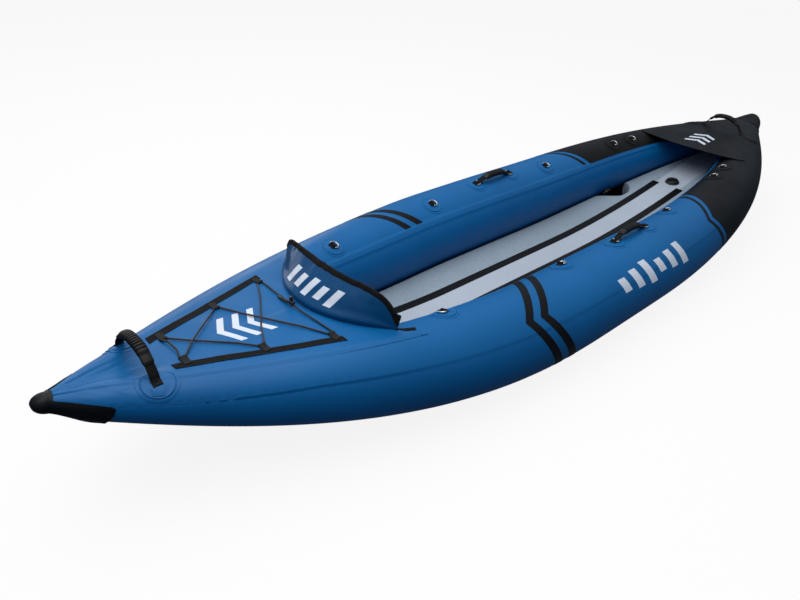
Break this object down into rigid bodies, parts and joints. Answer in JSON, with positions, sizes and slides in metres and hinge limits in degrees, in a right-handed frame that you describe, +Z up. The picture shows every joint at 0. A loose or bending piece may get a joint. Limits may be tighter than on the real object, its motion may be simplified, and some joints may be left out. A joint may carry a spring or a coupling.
{
  "type": "inflatable kayak",
  "caption": "Two-seat inflatable kayak with round side tubes, a flat drop-stitch floor, decked bow and stern, a spray deflector, carry handles and deck lacing.",
  "frame": {"origin": "on the ground, in the middle of the length and of the width", "axes": "+X towards the bow, +Y to port, +Z up"},
  "size_m": [3.8, 1, 0.4135],
  "materials": {
    "blue_pvc": "satin PVC-coated fabric",
    "gloss_blue_pvc": "glossy PVC film",
    "black_pvc": "satin PVC-coated fabric",
    "grey_floor": "finely grained PVC drop-stitch fabric",
    "black_webbing": "woven polyester webbing",
    "black_cord": "braided elastic cord",
    "black_rubber": "moulded rubber",
    "black_plastic": "moulded plastic",
    "steel": "polished stainless steel wire"
  },
  "bodies": {
    "hull": {"tube_port_rear": "blue_pvc", "tube_port_front": "blue_pvc", "tube_starboard_rear": "blue_pvc", "tube_starboard_front": "blue_pvc", "floor_mat": "grey_floor", "bottom_skin": "black_pvc", "stern_deck": "black_pvc", "bow_deck": "blue_pvc", "splash_deflector": "gloss_blue_pvc", "nose_cap": "black_rubber", "deck_webbing_port": "black_webbing", "deck_webbing_starboard": "black_webbing", "deck_bungee": "black_cord", "cord_lock_body": "black_plastic", "handle_patch_port_front": "blue_pvc", "handle_patch_port_rear": "blue_pvc", "ring_patch_port_1": "blue_pvc", "ring_patch_port_2": "blue_pvc", "ring_patch_port_3": "blue_pvc", "ring_patch_port_4": "black_pvc", "ring_patch_port_5": "black_pvc", "handle_patch_starboard_front": "blue_pvc", "handle_patch_starboard_rear": "blue_pvc", "ring_patch_starboard_1": "blue_pvc", "ring_patch_starboard_2": "blue_pvc", "ring_patch_starboard_3": "blue_pvc", "ring_patch_starboard_4": "black_pvc", "ring_patch_starboard_5": "black_pvc", "floor_valve_body": "black_plastic", "tube_port_valve_body": "black_plastic", "tube_starboard_valve_body": "black_plastic"},
    "d_ring_port_1": {"d_ring_port_1": "steel"},
    "d_ring_port_2": {"d_ring_port_2": "steel"},
    "d_ring_port_3": {"d_ring_port_3": "steel"},
    "d_ring_port_4": {"d_ring_port_4": "steel"},
    "d_ring_port_5": {"d_ring_port_5": "steel"},
    "d_ring_starboard_1": {"d_ring_starboard_1": "steel"},
    "d_ring_starboard_2": {"d_ring_starboard_2": "steel"},
    "d_ring_starboard_3": {"d_ring_starboard_3": "steel"},
    "d_ring_starboard_4": {"d_ring_starboard_4": "steel"},
    "d_ring_starboard_5": {"d_ring_starboard_5": "steel"},
    "side_handle_port": {"side_handle_port_strap": "black_webbing", "side_handle_port_grip": "black_rubber"},
    "handle_ring_port_front": {"handle_ring_port_front": "steel"},
    "handle_ring_port_rear": {"handle_ring_port_rear": "steel"},
    "side_handle_starboard": {"side_handle_starboard_strap": "black_webbing", "side_handle_starboard_grip": "black_rubber"},
    "handle_ring_starboard_front": {"handle_ring_starboard_front": "steel"},
    "handle_ring_starboard_rear": {"handle_ring_starboard_rear": "steel"},
    "bow_handle": {"bow_handle_strap": "black_webbing", "bow_handle_grip": "black_rubber"},
    "stern_handle": {"stern_handle_strap": "black_webbing", "stern_handle_grip": "black_rubber"},
    "cord_lock_button": {"cord_lock_button": "black_plastic"},
    "floor_valve_cap": {"floor_valve_cap": "black_plastic"},
    "floor_valve_pin": {"floor_valve_pin": "black_plastic"},
    "tube_port_valve_cap": {"tube_port_valve_cap": "black_plastic"},
    "tube_port_valve_pin": {"tube_port_valve_pin": "black_plastic"},
    "tube_starboard_valve_cap": {"tube_starboard_valve_cap": "black_plastic"},
    "tube_starboard_valve_pin": {"tube_starboard_valve_pin": "black_plastic"}
  },
  "joints": [
    {"name": "d_ring_port_1_swing", "type": "hinge", "parent": "hull", "child": "d_ring_port_1", "pos_m": [0.85203, 0.25659, 0.29176], "axis": [-0.1366, -0.9301, -0.3411], "range_deg": [0, 170]},
    {"name": "d_ring_port_2_swing", "type": "hinge", "parent": "hull", "child": "d_ring_port_2", "pos_m": [0.33479, 0.2983, 0.29336], "axis": [0.0174, 0.9395, 0.342], "range_deg": [0, 170]},
    {"name": "d_ring_port_3_swing", "type": "hinge", "parent": "hull", "child": "d_ring_port_3", "pos_m": [-0.38105, 0.29345, 0.29271], "axis": [-0.0249, 0.9394, 0.3418], "range_deg": [0, 170]},
    {"name": "d_ring_port_4_swing", "type": "hinge", "parent": "hull", "child": "d_ring_port_4", "pos_m": [-0.86923, 0.25333, 0.31083], "axis": [-0.125, 0.9318, 0.3407], "range_deg": [0, 170]},
    {"name": "d_ring_port_5_swing", "type": "hinge", "parent": "hull", "child": "d_ring_port_5", "pos_m": [-0.99717, 0.2318, 0.31686], "axis": [-0.165, 0.9257, 0.3405], "range_deg": [0, 170]},
    {"name": "d_ring_starboard_1_swing", "type": "hinge", "parent": "hull", "child": "d_ring_starboard_1", "pos_m": [0.85203, -0.25659, 0.29176], "axis": [-0.1366, 0.9301, -0.3411], "range_deg": [0, 170]},
    {"name": "d_ring_starboard_2_swing", "type": "hinge", "parent": "hull", "child": "d_ring_starboard_2", "pos_m": [0.33479, -0.2983, 0.29336], "axis": [-0.0174, 0.9395, -0.342], "range_deg": [0, 170]},
    {"name": "d_ring_starboard_3_swing", "type": "hinge", "parent": "hull", "child": "d_ring_starboard_3", "pos_m": [-0.38105, -0.29345, 0.29271], "axis": [0.0249, 0.9394, -0.3418], "range_deg": [0, 170]},
    {"name": "d_ring_starboard_4_swing", "type": "hinge", "parent": "hull", "child": "d_ring_starboard_4", "pos_m": [-0.86923, -0.25333, 0.31083], "axis": [0.125, 0.9318, -0.3407], "range_deg": [0, 170]},
    {"name": "d_ring_starboard_5_swing", "type": "hinge", "parent": "hull", "child": "d_ring_starboard_5", "pos_m": [-0.99717, -0.2318, 0.31686], "axis": [0.165, 0.9257, -0.3405], "range_deg": [0, 170]},
    {"name": "side_handle_port_lift", "type": "slide", "parent": "hull", "child": "side_handle_port", "axis": [-0.0031, -0.1737, 0.9848], "range_m": [0, 0.01]},
    {"name": "handle_ring_port_front_swing", "type": "hinge", "parent": "hull", "child": "handle_ring_port_front", "pos_m": [0.05178, 0.32499, 0.30051], "axis": [-0.0021, 0.9848, 0.1736], "range_deg": [0, 30]},
    {"name": "handle_ring_port_rear_swing", "type": "hinge", "parent": "hull", "child": "handle_ring_port_rear", "pos_m": [-0.16272, 0.3238, 0.29875], "axis": [0.0136, -0.9847, -0.1736], "range_deg": [0, 30]},
    {"name": "side_handle_starboard_lift", "type": "slide", "parent": "hull", "child": "side_handle_starboard", "axis": [-0.0031, 0.1737, 0.9848], "range_m": [0, 0.01]},
    {"name": "handle_ring_starboard_front_swing", "type": "hinge", "parent": "hull", "child": "handle_ring_starboard_front", "pos_m": [0.05178, -0.32499, 0.30051], "axis": [0.0021, 0.9848, -0.1736], "range_deg": [0, 30]},
    {"name": "handle_ring_starboard_rear_swing", "type": "hinge", "parent": "hull", "child": "handle_ring_starboard_rear", "pos_m": [-0.16272, -0.3238, 0.29875], "axis": [-0.0136, -0.9847, 0.1736], "range_deg": [0, 30]},
    {"name": "bow_handle_swing", "type": "hinge", "parent": "hull", "child": "bow_handle", "pos_m": [1.652, 0, 0.34764], "axis": [0, 1, 0], "range_deg": [-45, 45]},
    {"name": "stern_handle_swing", "type": "hinge", "parent": "hull", "child": "stern_handle", "pos_m": [-1.48, 0, 0.35165], "axis": [0, 1, 0], "range_deg": [-45, 45]},
    {"name": "cord_lock_button_press", "type": "slide", "parent": "hull", "child": "cord_lock_button", "axis": [0, 0, -1], "range_m": [0, 0.004], "stiffness_N_per_m": 300},
    {"name": "floor_valve_cap_turn", "type": "hinge", "parent": "hull", "child": "floor_valve_cap", "pos_m": [-1.06, 0, 0.14992], "axis": [0.1568, 0, 0.9876], "range_deg": [0, 90]},
    {"name": "floor_valve_pin_press", "type": "slide", "parent": "hull", "child": "floor_valve_pin", "axis": [-0.1568, 0, -0.9876], "range_m": [0, 0.003], "stiffness_N_per_m": 400},
    {"name": "tube_port_valve_cap_turn", "type": "hinge", "parent": "hull", "child": "tube_port_valve_cap", "pos_m": [-0.79629, 0.20081, 0.09599], "axis": [0.0642, -0.8079, -0.5859], "range_deg": [0, 90]},
    {"name": "tube_port_valve_pin_press", "type": "slide", "parent": "hull", "child": "tube_port_valve_pin", "axis": [-0.0642, 0.8079, 0.5859], "range_m": [0, 0.003], "stiffness_N_per_m": 400},
    {"name": "tube_starboard_valve_cap_turn", "type": "hinge", "parent": "hull", "child": "tube_starboard_valve_cap", "pos_m": [-0.79629, -0.20081, 0.09599], "axis": [0.0642, 0.8079, -0.5859], "range_deg": [0, 90]},
    {"name": "tube_starboard_valve_pin_press", "type": "slide", "parent": "hull", "child": "tube_starboard_valve_pin", "axis": [-0.0642, -0.8079, 0.5859], "range_m": [0, 0.003], "stiffness_N_per_m": 400}
  ],
  "couplings": [
    {"joint": "handle_ring_port_front_swing", "follows": "side_handle_port_lift", "rad_per_m": 50},
    {"joint": "handle_ring_port_rear_swing", "follows": "side_handle_port_lift", "rad_per_m": 50},
    {"joint": "handle_ring_starboard_front_swing", "follows": "side_handle_starboard_lift", "rad_per_m": 50},
    {"joint": "handle_ring_starboard_rear_swing", "follows": "side_handle_starboard_lift", "rad_per_m": 50}
  ]
}
